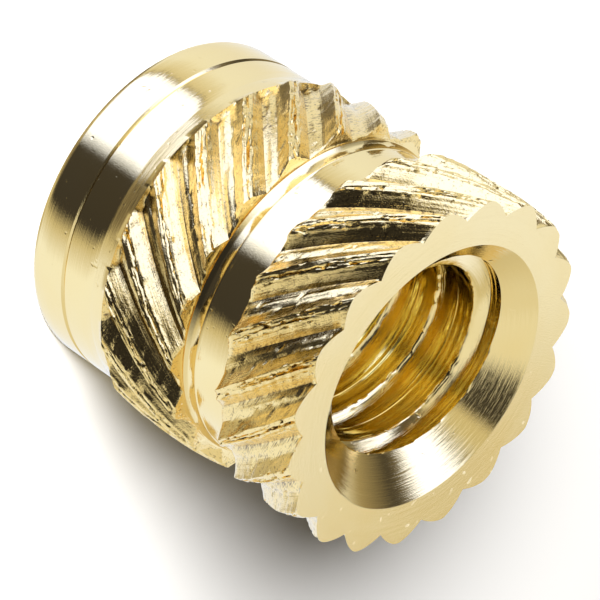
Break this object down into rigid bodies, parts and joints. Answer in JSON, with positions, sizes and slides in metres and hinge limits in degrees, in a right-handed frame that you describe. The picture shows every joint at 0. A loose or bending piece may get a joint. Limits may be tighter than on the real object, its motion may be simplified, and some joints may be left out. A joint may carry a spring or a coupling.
{
  "type": "threaded insert",
  "caption": "Short brass heat-set insert with knurl bands of opposite hand, a smooth neck and pilot, and a countersunk threaded hole, set into a hole in plastic.",
  "frame": {"origin": "on the axis, at the centre of the pilot end face, which is the base it stands on", "axes": "+Z along the axis, from the pilot end to the countersunk front face"},
  "size_m": [0.0048, 0.0048, 0.0048],
  "materials": {
    "brass": "as turned, bright"
  },
  "bodies": {
    "root": {"threaded_insert": "brass"}
  },
  "joints": []
}
